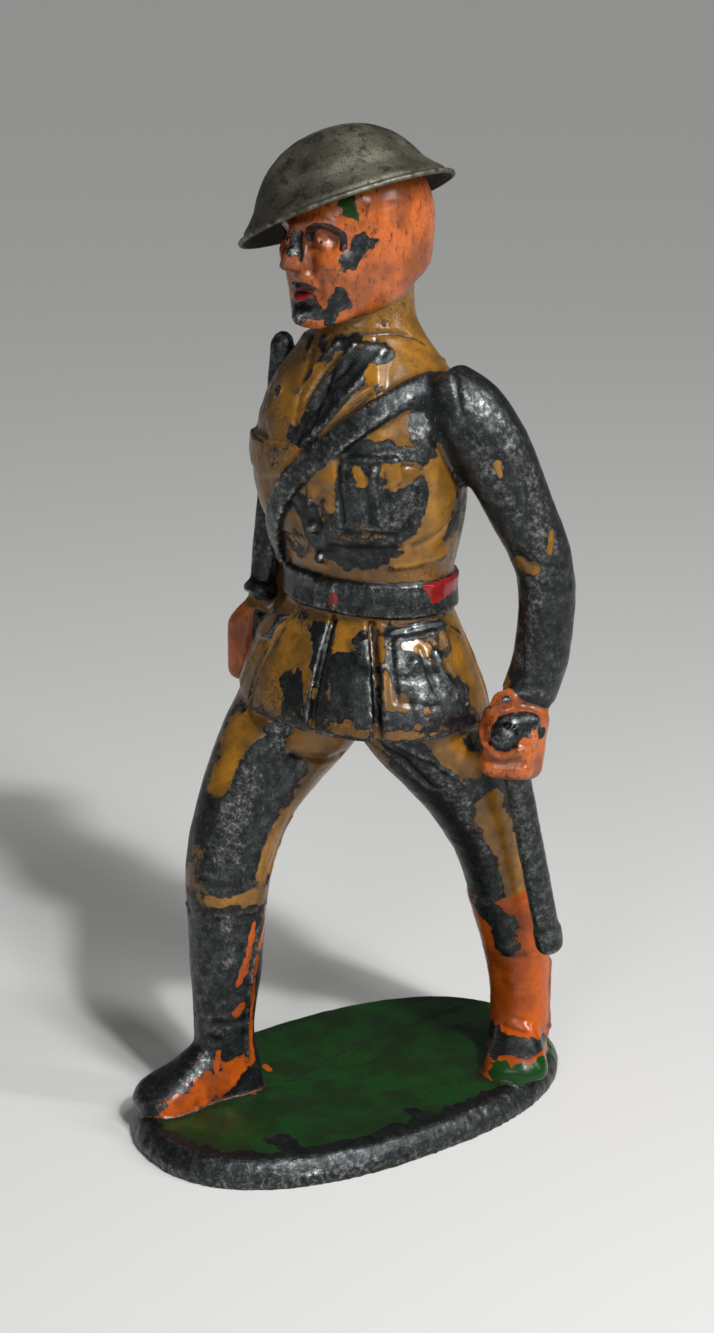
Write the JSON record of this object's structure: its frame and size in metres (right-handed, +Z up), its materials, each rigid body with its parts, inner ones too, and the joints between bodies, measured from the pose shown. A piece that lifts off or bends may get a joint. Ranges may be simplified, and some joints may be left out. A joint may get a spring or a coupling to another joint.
{
  "type": "toy soldier figure",
  "caption": "Hollow-cast toy soldier, a marching officer with drawn sword and scabbard on an oval base, under a loose tin helmet that turns on a spring clip.",
  "frame": {"origin": "centre of the underside of the oval base, on the surface that the figure stands on", "axes": "+Z up, the figure faces -Y along the base's length, and its left side is +X"},
  "size_m": [0.0306, 0.0404, 0.0828],
  "materials": {
    "grass_green": "gloss enamel, worn to bare lead at the edges",
    "boot_orange": "gloss enamel over bare lead",
    "uniform_khaki": "gloss enamel, half of it worn to bare lead",
    "bare_lead": "aged lead alloy, dark and sparkling on the high spots",
    "belt_red": "gloss enamel",
    "flesh_orange": "gloss enamel, crazed and speckled",
    "helmet_tin": "dull olive lacquer on tinplate",
    "clip_steel": "dull"
  },
  "bodies": {
    "figure": {"base": "grass_green", "right_boot": "boot_orange", "left_boot": "boot_orange", "right_leg": "uniform_khaki", "left_leg": "uniform_khaki", "tunic": "uniform_khaki", "waist_belt": "bare_lead", "belt_buckle": "belt_red", "cross_strap": "bare_lead", "right_sleeve": "uniform_khaki", "left_sleeve": "uniform_khaki", "right_hand": "flesh_orange", "left_hand": "flesh_orange", "sword": "bare_lead", "scabbard": "bare_lead", "head": "flesh_orange"},
    "clip": {"helmet_clip": "clip_steel"},
    "helmet": {"tin_helmet": "helmet_tin", "clip_cup": "clip_steel"}
  },
  "joints": [
    {"name": "helmet_lift", "type": "slide", "parent": "figure", "child": "clip", "axis": [-0.3651, -0.1288, 0.922], "range_m": [0, 0.0011]},
    {"name": "helmet_turn", "type": "hinge", "parent": "clip", "child": "helmet", "pos_m": [-0.00219, -0.00019, 0.07957], "axis": [-0.3651, -0.1288, 0.922], "continuous": true}
  ]
}
